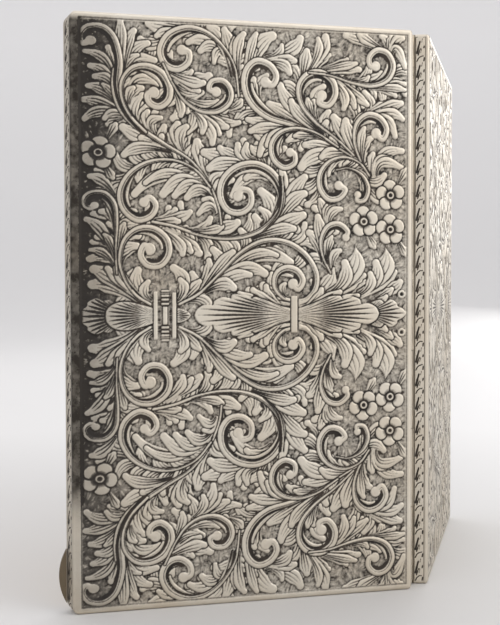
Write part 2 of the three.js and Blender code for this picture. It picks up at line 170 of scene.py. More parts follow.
# base, heading in degrees, lobe tips with an optional half width and sharpness
SPRAYS = [
 # --- around the top left volute
 ((7.6, 85.2), 100, [(5.7, 90.9), (2.3, 89.7, .5)]),
 ((7.7, 83.4), 112, [(3.0, 87.5), (3.6, 85.7)]),
 ((8.2, 81.4), 128, [(2.7, 84.2), (4.9, 84.8, .4)]),
 ((9.2, 79.9), 150, [(2.0, 82.0), (2.3, 78.6), (5.1, 78.8, .5)]),
 ((8.0, 86.0), 88, [(14.0, 88.6, .6), (12.9, 91.5), (11.1, 89.5, .4), (10.5, 93.7), (7.9, 95.2)]),
 ((18.6, 94.0), 182, [(11.9, 94.8, .8), (13.4, 92.3, .5)]),
 # --- inside the S2 volute
 ((8.5, 83.5), 82, [(14.5, 84.8, .55)]),
 ((8.8, 81.8), 84, [(11.9, 84.2, .6), (10.4, 84.4, .5)]),
 # --- right of trunk A
 ((12.3, 77.4), 112, [(12.6, 80.9, .7), (14.9, 79.6, .7)]),
 ((17.6, 74.2), 118, [(15.5, 77.3, .5), (17.5, 79.2, .8), (19.1, 78.6, .6)]),
 ((21.9, 70.4), 112, [(20.4, 76.6, .8), (22.0, 75.0, .5)]),
 # --- left of trunk A
 ((16.0, 74.8), 165, [(7.7, 78.3, .8), (10.7, 76.5, .65), (8.0, 73.1, .65)]),
 # --- between S3 and S4
 ((15.8, 86.6), -25, [(23.0, 87.0, .85), (19.8, 87.6, .5), (21.1, 83.9, .55), (22.0, 85.6, .6)]),
 ((16.8, 84.4), -62, [(19.0, 80.3, .55), (17.6, 79.6, .5)]),
 ((18.6, 82.4), -25, [(24.2, 82.9, .5)]),
 # --- inside S3
 ((25.2, 90.8), 135, [(17.7, 93.1, .7), (18.5, 91.6, .6), (20.6, 90.2, .75), (23.2, 88.4, .75)]),
 # --- above S3's stem
 ((26.9, 87.0), 98, [(22.0, 94.9, .8), (24.7, 94.7, .7), (26.9, 93.3, .55), (28.6, 94.1, .6)]),
 # --- right of and below S4
 ((26.0, 81.2), 25, [(28.5, 81.6, .6), (27.9, 83.3, .55)]),
 ((19.9, 81.2), -35, [(27.9, 79.4, .5), (25.9, 78.4, .6), (24.4, 76.9, .55), (22.9, 75.2, .6),
                      (21.1, 77.0, .5)]),
 ((30.0, 72.8), 172, [(20.9, 74.4, .8), (23.8, 75.4, .65), (21.9, 71.3, .75), (27.2, 76.2, .6),
                      (28.9, 76.2, .55)]),
 # --- top middle
 ((28.4, 86.5), 84, [(33.9, 93.9, .95), (30.5, 91.5, .6), (30.6, 94.2, .5)]),
 ((32.2, 89.7), 8, [(38.2, 94.1, .8), (34.8, 92.6, .45), (37.5, 89.6, .6), (36.3, 87.2, .65)]),
 ((38.2, 86.2), 80, [(39.2, 92.0, .7)]),
 ((39.8, 88.0), 55, [(43.5, 91.1, .5), (42.4, 94.6, .8), (40.9, 94.0, .5)]),
 ((41.0, 88.2), 12, [(46.5, 90.7, .45), (48.9, 88.7, .6), (48.2, 89.9, .45)]),
 ((47.2, 86.6), -8, [(52.6, 88.8, .6), (50.2, 88.0, .4)]),
 ((52.0, 92.6), 155, [(45.3, 94.4, .7), (47.9, 94.9, .6)]),
 ((53.6, 91.9), 75, [(51.8, 94.7, .6), (54.0, 95.0, .55), (56.7, 94.4, .6), (56.8, 91.8, .6),
                     (56.8, 89.1, .6)]),
 ((50.4, 86.0), 5, [(57.0, 86.8, .55), (55.2, 84.3, .5), (56.9, 85.6, .45)]),
 ((43.9, 87.4), -38, [(50.2, 82.7, .55), (47.6, 82.0, .5), (45.4, 81.7, .55)]),
 ((49.6, 81.4), 22, [(53.4, 83.6, .6), (56.5, 83.5, .65), (56.6, 80.4, .6), (55.0, 77.3, .6)]),
 # --- between the middle volutes
 ((47.9, 74.0), 118, [(43.4, 81.2, .8), (46.0, 80.8, .8)]),
 ((48.5, 73.2), 96, [(51.0, 77.6, .6), (49.5, 79.4, .5)]),
 ((40.2, 80.2), 112, [(42.5, 86.0, .6), (40.6, 83.6, .6), (39.2, 83.9, .45)]),
 ((41.6, 77.6), 148, [(32.0, 82.7, .7), (34.3, 86.2, .75), (36.2, 83.6, .65)]),
 ((30.6, 82.2), 118, [(32.6, 87.4, .5), (30.2, 86.9, .55)]),
 ((37.6, 79.0), 178, [(28.4, 79.9, .55), (28.9, 77.7, .6), (30.8, 73.6, .6), (32.0, 75.2, .5)]),
 ((40.6, 77.6), 176, [(35.4, 76.2, .5), (36.6, 77.2, .4)]),
 ((47.0, 75.0), 168, [(38.2, 75.9, .65), (37.7, 71.6, .85), (41.3, 73.6, .6)]),
 ((50.4, 71.2), 88, [(51.0, 75.2, .55), (56.7, 75.3, .65), (54.6, 73.9, .6), (56.6, 72.2, .6)]),
 # --- inside S5: long leaves hanging off the arch
 ((22.4, 69.2), 140, [(9.7, 66.8, .7), (11.5, 68.8, .5)]),
 ((22.7, 68.7), 135, [(14.3, 66.8, .8)]),
 ((23.0, 68.1), 132, [(16.3, 66.7, .65)]),
 ((23.3, 67.4), 128, [(18.3, 66.4, .65)]),
 ((24.0, 64.8), 110, [(21.0, 66.5, .7), (20.3, 63.9, .55)]),
 # --- under and over the long lower stem
 ((13.6, 62.9), 2, [(16.9, 65.4, .6), (19.6, 64.9, .6), (17.8, 63.0, .5)]),
 ((20.0, 61.2), 2, [(27.7, 63.3, .75), (24.9, 62.5, .5)]),
 ((15.4, 61.6), -32, [(21.2, 57.4, .75), (19.6, 57.7, .55), (17.9, 57.2, .6)]),
 ((7.6, 59.4), 80, [(8.6, 62.9, .45)]),
 # --- inside S9's ring
 ((33.6, 70.2), 140, [(26.0, 66.8, .6), (28.2, 69.8, .6)]),
 ((32.0, 61.9), 40, [(30.6, 68.6, .85), (30.6, 65.5, .6)]),
 # --- right of the ring
 ((33.2, 62.6), 62, [(34.4, 72.6, .6), (39.2, 71.0, .75), (39.3, 68.0, .75)]),
 ((29.6, 60.7), 22, [(39.1, 64.5, .8), (37.4, 61.9, .65)]),
 ((42.4, 62.6), 92, [(41.1, 67.2, .5), (42.7, 66.2, .45), (44.4, 65.9, .5), (45.6, 65.4, .5)]),
 ((42.2, 56.8), 98, [(38.9, 61.6, .7), (40.9, 64.6, .7)]),
 ((42.4, 57.2), 84, [(43.6, 61.1, .65)]),
 ((43.2, 55.6), 95, [(45.4, 58.5, .8)]),
 # --- the arch round the tie volute
 ((24.6, 55.2), 45, [(36.8, 56.0, .8), (34.3, 57.4, .5)]),
 ((22.6, 53.3), 42, [(32.4, 54.2, .8)]),
 ((21.4, 52.1), 35, [(29.8, 54.2, .6), (27.0, 51.8, .75)]),
 ((40.2, 51.0), 60, [(39.6, 53.6, .6)]),
 ((37.0, 49.4), 172, [(28.5, 52.1, .8), (31.2, 53.2, .8)]),
 ((35.0, 50.6), 120, [(35.6, 53.1, .5)]),
 # --- leaves over the long stem
 ((20.8, 51.6), 55, [(23.6, 56.6, .5), (22.2, 57.2, .55), (26.8, 58.4, .65)]),
 ((17.6, 49.9), 50, [(21.1, 53.6, .5), (15.9, 55.9, .8), (17.2, 53.9, .6)]),
 ((12.4, 49.8), 150, [(10.9, 55.7, .85), (12.6, 53.6, .6)]),
 # --- left edge
 ((7.1, 57.4), 105, [(2.4, 63.4, .6), (5.0, 61.0, .4)]),
 ((7.2, 61.5), 92, [(5.2, 66.1, .5)]),
 ((7.2, 56.0), 120, [(3.0, 58.3, .45)]),
 ((11.0, 50.4), 140, [(2.9, 52.6, .95), (3.2, 55.6, .9), (5.4, 55.8, .6), (7.0, 56.0, .6)]),
 ((7.2, 67.4), 125, [(2.9, 70.0, .6)]),
 # --- large leaves beside the central axis on the right
 ((38.2, 48.9), 24, [(42.4, 53.9, .7), (43.9, 56.2, .85, .8)]),
 ((43.4, 50.4), 26, [(49.6, 54.6, .6), (47.3, 60.4, 1.2, .95), (45.6, 57.0, .8)]),
 ((46.6, 50.2), 24, [(49.6, 53.6, .55), (50.8, 52.2, .5)]),
 ((48.8, 50.4), 26, [(55.2, 55.2, .6), (52.8, 60.2, 1.2, .95), (51.2, 57.0, .8), (50.2, 55.0, .6)]),
 ((51.4, 50.2), 22, [(56.2, 53.6, .7), (54.6, 52.2, .5)]),
]

FLOWER_RADIUS = 2.65
BUD_REACH = 1.5
BUD_HALF = 0.95
# centre, and heading of the first petal
FLOWERS = [((4.5, 73.8), 80), ((54.0, 67.8), 95), ((49.2, 63.3), 95), ((54.0, 62.0), 95)]
# centre and heading
BUDS = [((6.8, 78.6), 200), ((56.3, 71.3), 60), ((50.6, 59.9), -60), ((56.4, 58.6), -60),
        ((6.1, 70.7), -60), ((6.6, 77.4), 60)]

# bars of the ties on the axis: from and to along it, rise above it, half height, top
TIES = [(36.3, 37.5, 0, 3.1, .04), (13.1, 13.85, 0, 3.95, .04), (16.15, 16.9, 0, 3.8, .04),
        (14.3, 15.75, 0, 4.3, .02)]
TIES += [(14.35, 15.7, rise, .22, .06) for rise in (4.0, 3.2, 2.6, 1.9)]
TIES += [(14.6, 15.45, 0, 1.5, .06)]

# ---- engraving: the tools
class Board:
    """Maps of relief height, oxide and leaf cover that the engraving is drawn into."""

    def __init__(self, width, height):
        self.nx = int(round(width / CELL)) + 1
        self.nz = int(round(height / CELL)) + 1
        self.height = np.full((self.nz, self.nx), GROUND)
        self.dark = np.ones((self.nz, self.nx))
        self.leaf = np.zeros((self.nz, self.nx))

    def window(self, low, high):
        """Slices and cell places of a rectangle, or None where it misses the board."""
        i0 = max(int(low[0] / CELL), 0)
        i1 = min(int(high[0] / CELL) + 2, self.nx)
        j0 = max(int(low[1] / CELL), 0)
        j1 = min(int(high[1] / CELL) + 2, self.nz)
        if i1 <= i0 or j1 <= j0:
            return None
        gx, gz = np.meshgrid(np.arange(i0, i1) * CELL, np.arange(j0, j1) * CELL)
        return (slice(j0, j1), slice(i0, i1)), gx, gz

    def put(self, where, inside, height, dark, halo=None):
        """Lays a shape over what is there, with a deep dark halo round it."""
        h = self.height[where]
        d = self.dark[where]
        m = self.leaf[where]
        if halo is not None:
            d[...] = np.where(halo, 1.0, d)
            h[...] = np.where(halo, np.minimum(h, CUT), h)
        h[...] = np.where(inside, height, h)
        d[...] = np.where(inside, dark, d)
        m[...] = np.where(inside, 1.0, m)


def smooth(t):
    """Soft step from 0 at 0 to 1 at 1."""
    t = np.clip(t, 0, 1)
    return t * t * (3 - 2 * t)


def ridge(value, width):
    """1 where a value is 0, falling off over a width."""
    return np.exp(-(value / width) ** 2)


def toward(degrees):
    """Unit step along a heading."""
    return np.array([math.cos(math.radians(degrees)), math.sin(math.radians(degrees))])


def along_path(gx, gz, path):
    """Distance, side and place along a path for every cell of a window."""
    best = np.full(gx.shape, 1e9)
    place = np.zeros(gx.shape)
    side = np.ones(gx.shape)
    count = len(path) - 1
    for k in range(count):
        dx, dz = path[k + 1] - path[k]
        px = gx - path[k][0]
        pz = gz - path[k][1]
        f = np.clip((px * dx + pz * dz) / (dx * dx + dz * dz + 1e-12), 0, 1)
        ex = px - f * dx
        ez = pz - f * dz
        d2 = ex * ex + ez * ez
        closer = d2 < best
        best = np.where(closer, d2, best)
        place = np.where(closer, (k + f) / count, place)
        side = np.where(closer, np.where(dx * ez - dz * ex >= 0, 1.0, -1.0), side)
    return np.sqrt(best), side, place


def spline(points, step=0.25):
    """Smooth curve through given points."""
    p = np.array(points, float)
    p = np.vstack([2 * p[0] - p[1], p, 2 * p[-1] - p[-2]])
    out = []
    for k in range(1, len(p) - 2):
        a, b, c, d = p[k - 1:k + 3]
        n = max(int(np.hypot(*(c - b)) / step), 2)
        t = np.linspace(0, 1, n, endpoint=False)[:, None]
        out.append(0.5 * (2 * b + (c - a) * t + (2 * a - 5 * b + 4 * c - d) * t ** 2
                          + (3 * b - a - 3 * c + d) * t ** 3))
    out.append(p[-2:-1])
    return np.vstack(out)


def turning(path):
    """+1 where the path curls to the left, -1 to the right."""
    a = np.diff(path, axis=0)
    return 1.0 if np.sum(a[:-1, 0] * a[1:, 1] - a[:-1, 1] * a[1:, 0]) > 0 else -1.0


def band(board, path, width_at, veins, dome, vein_end, vein_width, shadow=0.0):
    """A leaf lobe or scroll: a raised band with a cut outline and lines along it."""
    reach = max(width_at(np.linspace(0, 1, 20))) + 0.15
    got = board.window(path.min(0) - reach, path.max(0) + reach)
    if got is None:
        return
    where, gx, gz = got
    dist, side, place = along_path(gx, gz, path)
    half = width_at(place)
    edge = half - dist
    inside = edge > 0
    across = side * dist / np.maximum(half, 1e-6)
    open_end = 1 - smooth((place - 0.955) / 0.03) if shadow else 1.0
    height = LEAF + dome * (1 - np.clip(across, -1, 1) ** 2)
    height = height - GROOVE_DEPTH * ridge(edge, GROOVE) * open_end
    joined = 1.0 if shadow else 0.45 + 0.55 * smooth((place - 0.15) / 0.4)
    dark = ridge(edge, OUTLINE) * open_end * joined
    for offset, start in veins:
        fade = np.clip((vein_end - place) / (vein_end - start), 0, 1) ** 0.7
        line = np.where(place >= start, vein_width * fade * np.minimum(half / LOBE_HALF, 1), 0)
        gap = np.abs(side * dist - offset * half)
        cut = np.clip(1.25 - gap / np.maximum(line, 1e-6), 0, 1) * (line > 0.004) * open_end
        height = height - VEIN_DEPTH * cut
        dark = np.maximum(dark, VEIN_TONE * np.clip(cut * 1.6, 0, 1))
    reach = np.where(side == np.sign(shadow), 0.08 + abs(shadow) * smooth((place - 0.3) / 0.4), 0.08)
    halo = (~inside) & (edge > -reach) & (open_end > 0.5)
    if not shadow:
        halo = halo & (place > 0.3)
    board.put(where, inside, height, dark, halo)


def lobe(board, base, heading, tip, half=None):
    """One leaf lobe that leaves its base along a heading and ends round its tip."""
    base = np.array(base, float)
    sharp = tip[3] if len(tip) > 3 else LOBE_SHARP
    tip = np.array(tip[:2], float)
    run = np.hypot(*(tip - base))
    half = min((half or LOBE_HALF) * 1.5 + 0.1, 0.32 + 0.17 * run)
    middle = base + LOBE_BEND * run * toward(heading)
    t = np.linspace(0, 1, 18)[:, None]
    path = (1 - t) ** 2 * base + 2 * t * (1 - t) * middle + t * t * tip
    reach = path[-1] - path[-2]
    reach /= np.hypot(*reach)
    path = path - t ** 2 * reach * half * 0.55
    tail = 0.42 * half

    def width_at(place):
        swell = smooth(place / 0.68) ** 0.8
        return (tail + (half - tail) * swell) * (1 - sharp * smooth((place - 0.62) / 0.38))

    hollow = turning(path)
    if half > 1.0:
        veins, ends = (0.56, 0.14, -0.34), 0.92
    elif half > 0.55:
        veins, ends = (0.44, -0.14), 0.88
    else:
        veins, ends = (0.1,), 0.88
    band(board, path, width_at, [(share * hollow, 0.0) for share in veins], 0.05, ends, 0.125)


def spray(board, base, heading, tips):
    """A leaf of several lobes."""
    root = np.array(base, float)
    ahead, side = toward(heading)
    across = np.array([-side, ahead])
    for tip in tips:
        shift = 0.16 * np.dot(np.array(tip[:2]) - root, across)
        lobe(board, root + shift * across, heading, tip, tip[2] if len(tip) > 2 else None)


def foliage(board, points, rng):
    """Leaves that grow from a scroll, under everything that is listed."""
    path = spline(points)
    run = np.concatenate([[0], np.cumsum(np.hypot(*np.diff(path, axis=0).T))])
    inner = turning(path)
    marks = np.arange(0.9, run[-1] * FILL_END, FILL_STEP)[::-1]
    for number, mark in enumerate(marks):
        k = min(int(np.searchsorted(run, mark)), len(path) - 2)
        d = path[k + 1] - path[k]
        heading = math.degrees(math.atan2(d[1], d[0]))
        for side in (1.0, -1.0):
            size = FILL_LENGTH * (0.82 + 0.36 * rng.random())
            spread = heading + side * (44 + 14 * rng.random())
            half = FILL_HALF + 0.16 * rng.random()
            if side == inner and (number % 2 or mark > 0.4 * run[-1]):
                continue
            lobe(board, path[k], heading + side * 2, path[k] + size * toward(spread), half)


def crescents(board, path, inner, full):
    """Lobes that lie along the inner side of a volute."""
    step = np.gradient(path, axis=0)
    step /= np.hypot(*step.T)[:, None]
    normal = inner * np.stack([-step[:, 1], step[:, 0]], 1)
    share = np.linspace(0, 1, len(path))
    half = 0.62 * full

    def width_at(place):
        return half * (0.25 + 0.75 * smooth(place / 0.7)) * (1 - 0.3 * smooth((place - 0.75) / 0.25))

    for start, end, gap in ((0.58, 0.88, 1.35), (0.34, 0.70, 2.05)):
        part = (share >= start) & (share <= end)
        if part.sum() < 6:
            continue
        swing = smooth((share[part] - start) / (end - start) / 0.75)
        line = path[part] + normal[part] * (full * gap * swing)[:, None]
        band(board, line, width_at, [(-0.1 * inner, 0.0)], 0.05, 0.8, 0.1)


def scroll(board, points, root, full, eye):
    """A stem that widens towards its end and, with an eye, rolls up into a volute."""
    path = spline(points)
    inner = turning(path)
    root = root * STEM_ROOT
    full = full * STEM_END
    if eye:
        crescents(board, path, inner, full)

    def width_at(place):
        return root + (full - root) * smooth(place / 0.7) ** 1.2

    if eye:
        disc(board, path[-1], eye * EYE)
    band(board, path, width_at, [(inner * 0.36, 0.12)], 0.06, 1.2, 0.11, inner * 0.34)


def disc(board, centre, radius):
    """A domed round: a volute's eye or a flower's heart."""
    centre = np.array(centre)
    where, gx, gz = board.window(centre - radius - 0.2, centre + radius + 0.2)
    dist = np.hypot(gx - centre[0], gz - centre[1])
    edge = radius - dist
    height = LEAF + 0.10 * (1 - np.clip(dist / radius, 0, 1) ** 2) - 0.12 * ridge(edge, GROOVE)
    board.put(where, edge > 0, height, ridge(edge, 0.08))


def flower(board, centre, turn):
    """Five round petals round a ring."""
    centre = np.array(centre, float)
    radius = FLOWER_RADIUS
    disc(board, centre, radius * 0.42)
    for k in range(5):
        out = toward(turn + 72 * k)
        petal = centre + out * radius * 0.62
        r = radius * 0.40
        where, gx, gz = board.window(petal - r - 0.3, petal + r + 0.3)
        lx = (gx - petal[0]) * out[0] + (gz - petal[1]) * out[1]
        lz = -(gx - petal[0]) * out[1] + (gz - petal[1]) * out[0]
        edge = r - np.hypot(lx, lz * 0.86)
        near = np.hypot(gx - centre[0], gz - centre[1])
        height = LEAF + 0.05 - 0.12 * ridge(edge, 0.10)
        height = height - 0.10 * ridge(near - 0.7, 0.5)
        rays = 0.5 + 0.5 * np.cos(np.arctan2(gz - centre[1], gx - centre[0]) * 40)
        inner = np.clip(1.25 - (near - 0.75) / 0.55, 0, 1) * (0.45 + 0.5 * rays)
        dark = np.maximum(ridge(edge, GROOVE), inner)
        board.put(where, edge > 0, height, dark, (edge <= 0) & (edge > -0.1) & (near > 0.8))
    ring(board, centre, 0.68, 0.3)


def ring(board, centre, outer, inner):
    """A small raised ring."""
    centre = np.array(centre)
    where, gx, gz = board.window(centre - outer - 0.3, centre + outer + 0.3)
    dist = np.hypot(gx - centre[0], gz - centre[1])
    middle = (outer + inner) / 2
    width = (outer - inner) / 2
    edge = width - np.abs(dist - middle)
    height = LEAF + 0.06 * (1 - ((dist - middle) / width) ** 2)
    board.put(where, edge > 0, height, 0.8 * ridge(edge, 0.05), (edge <= 0) & (dist < outer + 0.14))


def bar(board, x0, x1, z0, z1, top):
    """A flat bar of the ties that hold the axis leaves."""
    where, gx, gz = board.window((x0 - 0.3, z0 - 0.3), (x1 + 0.3, z1 + 0.3))
    edge = np.minimum(np.minimum(gx - x0, x1 - gx), np.minimum(gz - z0, z1 - gz))
    height = top - 0.1 * ridge(edge, 0.08)
    board.put(where, edge > 0, height, 0.8 * ridge(edge, 0.06), (edge <= 0) & (edge > -0.12))


def blur(a, sigma):
    """Gaussian blur of a map, sigma in cells."""
    n = max(int(3 * sigma), 1)
    k = np.exp(-0.5 * (np.arange(-n, n + 1) / sigma) ** 2)
    k /= k.sum()
    p = np.pad(a, n, mode="edge")
    p = sum(k[i] * p[i:i + a.shape[0], :] for i in range(2 * n + 1))
    return sum(k[i] * p[:, i:i + a.shape[1]] for i in range(2 * n + 1))


# ---- engraving: the drawing
def palmette(board, lobes, spread, reach=8.5, limit=None):
    """Matching lobes above and below the central axis, each from its own place on it."""
    for x, rise, half in lobes:
        along = math.copysign(reach, spread)
        root = x - along
        if limit is not None:
            root = max(root, limit) if spread > 0 else min(root, limit)
        for side in (1, -1):
            turn = side * abs(spread) if spread > 0 else 180 - side * abs(spread)
            lobe(board, (root, MID + side * 0.12), turn, (x, MID + side * rise), half)


def fan(board, root, outline, spacing, bend=1.3):
    """Whole leaf on the axis: lines fan out from its root and stop short of its rim."""
    rim = spline(outline, 0.1)
    along = math.copysign(1.0, rim[0, 0] - root)
    reach = abs(rim[0, 0] - root)
    angle = np.maximum.accumulate(np.arctan2(rim[:, 1], (rim[:, 0] - root) * along))
    radius = np.hypot(rim[:, 0] - root, rim[:, 1])
    wide = rim[:, 1].max() + 0.4
    near, far = sorted((root, rim[0, 0]))
    where, gx, gz = board.window((near - 0.4, MID - wide), (far + 0.4, MID + wide))
    run = (gx - root) * along
    rise = gz - MID
    turn = np.arctan2(np.abs(rise), run)
    out = np.interp(turn, angle, radius, right=0.0)
    slope = np.interp(turn, angle, np.gradient(radius) / np.maximum(np.gradient(angle), 1e-4))
    edge = (out - np.hypot(run, rise)) / np.hypot(1, slope / np.maximum(out, 0.3))
    pitch = spacing * ((np.maximum(run, 0) + 0.3) / (0.7 * reach + 0.3)) ** bend
    phase = rise / pitch
    number = np.round(phase)
    gap = np.abs(phase - number) * pitch
    taper = smooth((0.99 - np.hypot(run, rise) / np.maximum(out, 0.1)) / 0.35) ** 0.6
    spaced = np.where(number % 2 == 0, smooth(run / (0.12 * reach)), smooth((run / reach - 0.22) / 0.2))
    line = np.minimum(0.17, 0.3 * pitch) * taper * spaced * smooth((edge - 0.08) / 0.3)
    cut = np.clip(1.25 - gap / np.maximum(line, 1e-6), 0, 1) * (line > 0.012)
    height = LEAF + 0.07 - GROOVE_DEPTH * ridge(edge, GROOVE) - 0.09 * cut
    height = height - 0.07 * ridge(run, 0.25 * reach)
    dark = np.maximum(ridge(edge, OUTLINE), VEIN_TONE * np.clip(cut * 1.6, 0, 1))
    board.put(where, edge > 0, height, dark, (edge <= 0) & (edge > -0.12) & (run > 0.1 * reach))


def low(point):
    """A listed point, in the drawn maps' own height."""
    return (point[0], point[1] - FLOOR) + tuple(point[2:])


def draw_panel():
    """The whole design, from the leaves that lie lowest to the ties on top."""
    board = Board(PANEL_WIDTH, LENGTH - FLOOR + 0.5)
    rng = np.random.default_rng(11)
    for points, *_ in STEMS:
        foliage(board, [low(p) for p in points], rng)
    fan(board, 8.6, [(1.9, 0), (2.1, 1.1), (2.8, 1.7), (2.9, 2.3), (4.0, 3.0), (5.0, 2.6), (6.0, 2.7),
                     (7.6, 1.6), (8.5, .9)], .7)
    for base, heading, tips in SPRAYS:
        spray(board, low(base), heading, [low(t) for t in tips])
    fan(board, 13.6, [(5.3, 0), (5.5, 1.0), (6.3, 1.85), (7.6, 2.3), (9.2, 2.3), (11.0, 1.9),
                      (12.6, 1.45), (13.5, 1.1)], .56, 1.15)
    for centre, turn in BUDS:
        middle = np.array(low(centre))
        reach = toward(turn) * BUD_REACH
        lobe(board, middle - reach, turn, middle + reach, BUD_HALF)
    for points, root, full, eye in STEMS:
        scroll(board, [low(p) for p in points], root, full, eye)
    palmette(board, [(53.6, 3.2, .5)], 20, 5.5)
    fan(board, 49.0, [(57.1, 0), (56.4, .8), (55.4, 1.3), (55.3, 1.8), (54.2, 2.4), (53.0, 1.9),
                      (52.2, 2.4), (50.6, 2.0), (49.1, 1.2)], .7)
    palmette(board, [(41.8, 4.6, .55), (45.4, 3.9, .55), (48.6, 3.1, .5)], 24, 8.5, 37.2)
    fan(board, 36.6, [(52.1, 0), (51.5, 1.1), (50.2, 1.8), (48.9, 1.7), (48.5, 2.5), (46.9, 3.0),
                      (45.6, 2.4), (45.0, 3.1), (43.2, 3.0), (41.0, 2.2), (38.6, 1.35), (36.8, .85)],
        .72, 1.15)
    palmette(board, [(32.0, 5.2, .55), (29.4, 4.5, .6), (27.0, 3.7, .55)], -24, 8.0, 36.4)
    fan(board, 37.4, [(19.8, 0), (20.2, .95), (21.4, 1.75), (22.8, 1.6), (23.2, 2.4), (24.6, 3.0),
                      (25.8, 2.5), (26.2, 3.4), (27.6, 3.4), (29.2, 2.7), (30.2, 3.0), (32.4, 2.3),
                      (34.6, 1.5), (37.2, .85)], .76, 1.15)
    fan(board, 16.4, [(19.4, 0), (18.9, .6), (18.0, 1.1), (16.9, 1.25), (16.5, .9)], .4, 1.0)
    for centre, turn in FLOWERS:
        flower(board, low(centre), turn)
    ring(board, low((56.1, 51.0)), .75, .3)
    for x0, x1, rise, half, top in TIES:
        bar(board, x0, x1, MID + rise - half, MID + rise + half, top)
    hatch_ground(board)
    return board


def hatch_ground(board):
    """Fine cuts that run away from the leaves over the sunk ground."""
    rng = np.random.default_rng(5)
    slope = blur(board.leaf, 10)
    gz, gx = np.gradient(slope)
    n = np.hypot(gx, gz) + 1e-6
    noise = blur(rng.standard_normal(board.dark.shape), 1.0)
    jj, ii = np.mgrid[0:board.nz, 0:board.nx]
    streak = np.zeros(board.dark.shape)
    for k in range(-7, 8):
        a = np.clip((jj + gz / n * k * 1.2).round().astype(int), 0, board.nz - 1)
        c = np.clip((ii + gx / n * k * 1.2).round().astype(int), 0, board.nx - 1)
        streak += noise[a, c]
    streak /= streak.std()
    near = np.clip(blur(board.leaf, 5) * 1.3, 0, 1)
    ground = board.leaf < 0.5
    sunk = ground & (board.height <= GROUND + 1e-6)
    tone = np.clip(0.36 + 0.17 * streak + 0.55 * near ** 1.5, 0, 1)
    board.dark = np.where(sunk, tone, board.dark)
    board.height = np.where(sunk, GROUND + 0.02 * streak.clip(-1.5, 1.5), board.height)


# ---- meshes
def show(name, data):
    """Puts a mesh, a lamp or a camera in the scene."""
    thing = bpy.data.objects.new(name, data)
    bpy.context.scene.collection.objects.link(thing)
    return thing


def build(name, points, faces, oxide, tarnish_and_painted_reflection, body, node, place):
    """Engraved mesh in half-case millimetres, placed in the frame, with its maps."""
    mesh = bpy.data.meshes.new(name)
    mesh.from_pydata(points, [], faces)
    mesh.update()
    mesh.transform(place)
    # oxide map, and a map of tarnish with the painted dark reflection
    for layer, values in (("oxide", oxide), ("tarnish_and_painted_reflection", tarnish_and_painted_reflection)):
        attribute = mesh.attributes.new(layer, "FLOAT", "POINT")
        attribute.data.foreach_set("value", np.ascontiguousarray(values, np.float32))
    mesh.shade_smooth()
    mesh.set_sharp_from_angle(angle=math.radians(62))
    piece = show(name, mesh)
    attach(piece, body)
    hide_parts(node)
    return piece


def sample(field, x, z):
    """Value of a drawn map at a place on the panel, mirrored below the axis."""
    z = np.where(z < MIRROR, 2 * MIRROR - z, z) - FLOOR
    u = np.clip(x / CELL, 0, field.shape[1] - 1.001)
    v = np.clip(z / CELL, 0, field.shape[0] - 1.001)
    i = u.astype(int)
    j = v.astype(int)
    fu = u - i
    fv = v - j
    return ((field[j, i] * (1 - fu) + field[j, i + 1] * fu) * (1 - fv)
            + (field[j + 1, i] * (1 - fu) + field[j + 1, i + 1] * fu) * fv)


def lean(depth):
    """How far the side walls have come in at a depth below the parting plane."""
    return WALL_LEAN * depth / HALF_DEPTH


def round_corners(points):
    """Draws the two corners of the opening side in to a larger radius."""
    for z_corner, up in ((0.0, -1.0), (LENGTH, 1.0)):
        a = np.clip((-WIDTH + CORNER - points[:, 0]) / CORNER, 0, 1)
        b = np.clip(1 - up * (z_corner - points[:, 2]) / CORNER, 0, 1)
        points[:, 0] += CORNER * a * (1 - np.sqrt(1 - b * b / 2))
        points[:, 2] -= up * CORNER * b * (1 - np.sqrt(1 - a * a / 2))
    return points


def bands(rings, quads):
    """Faces between one loop of points and the next."""
    for a, b in zip(rings[:-1], rings[1:]):
        a2 = np.roll(a, -1)
        b2 = np.roll(b, -1)
        quads.append(np.stack([a, b, b2, a2], 1))


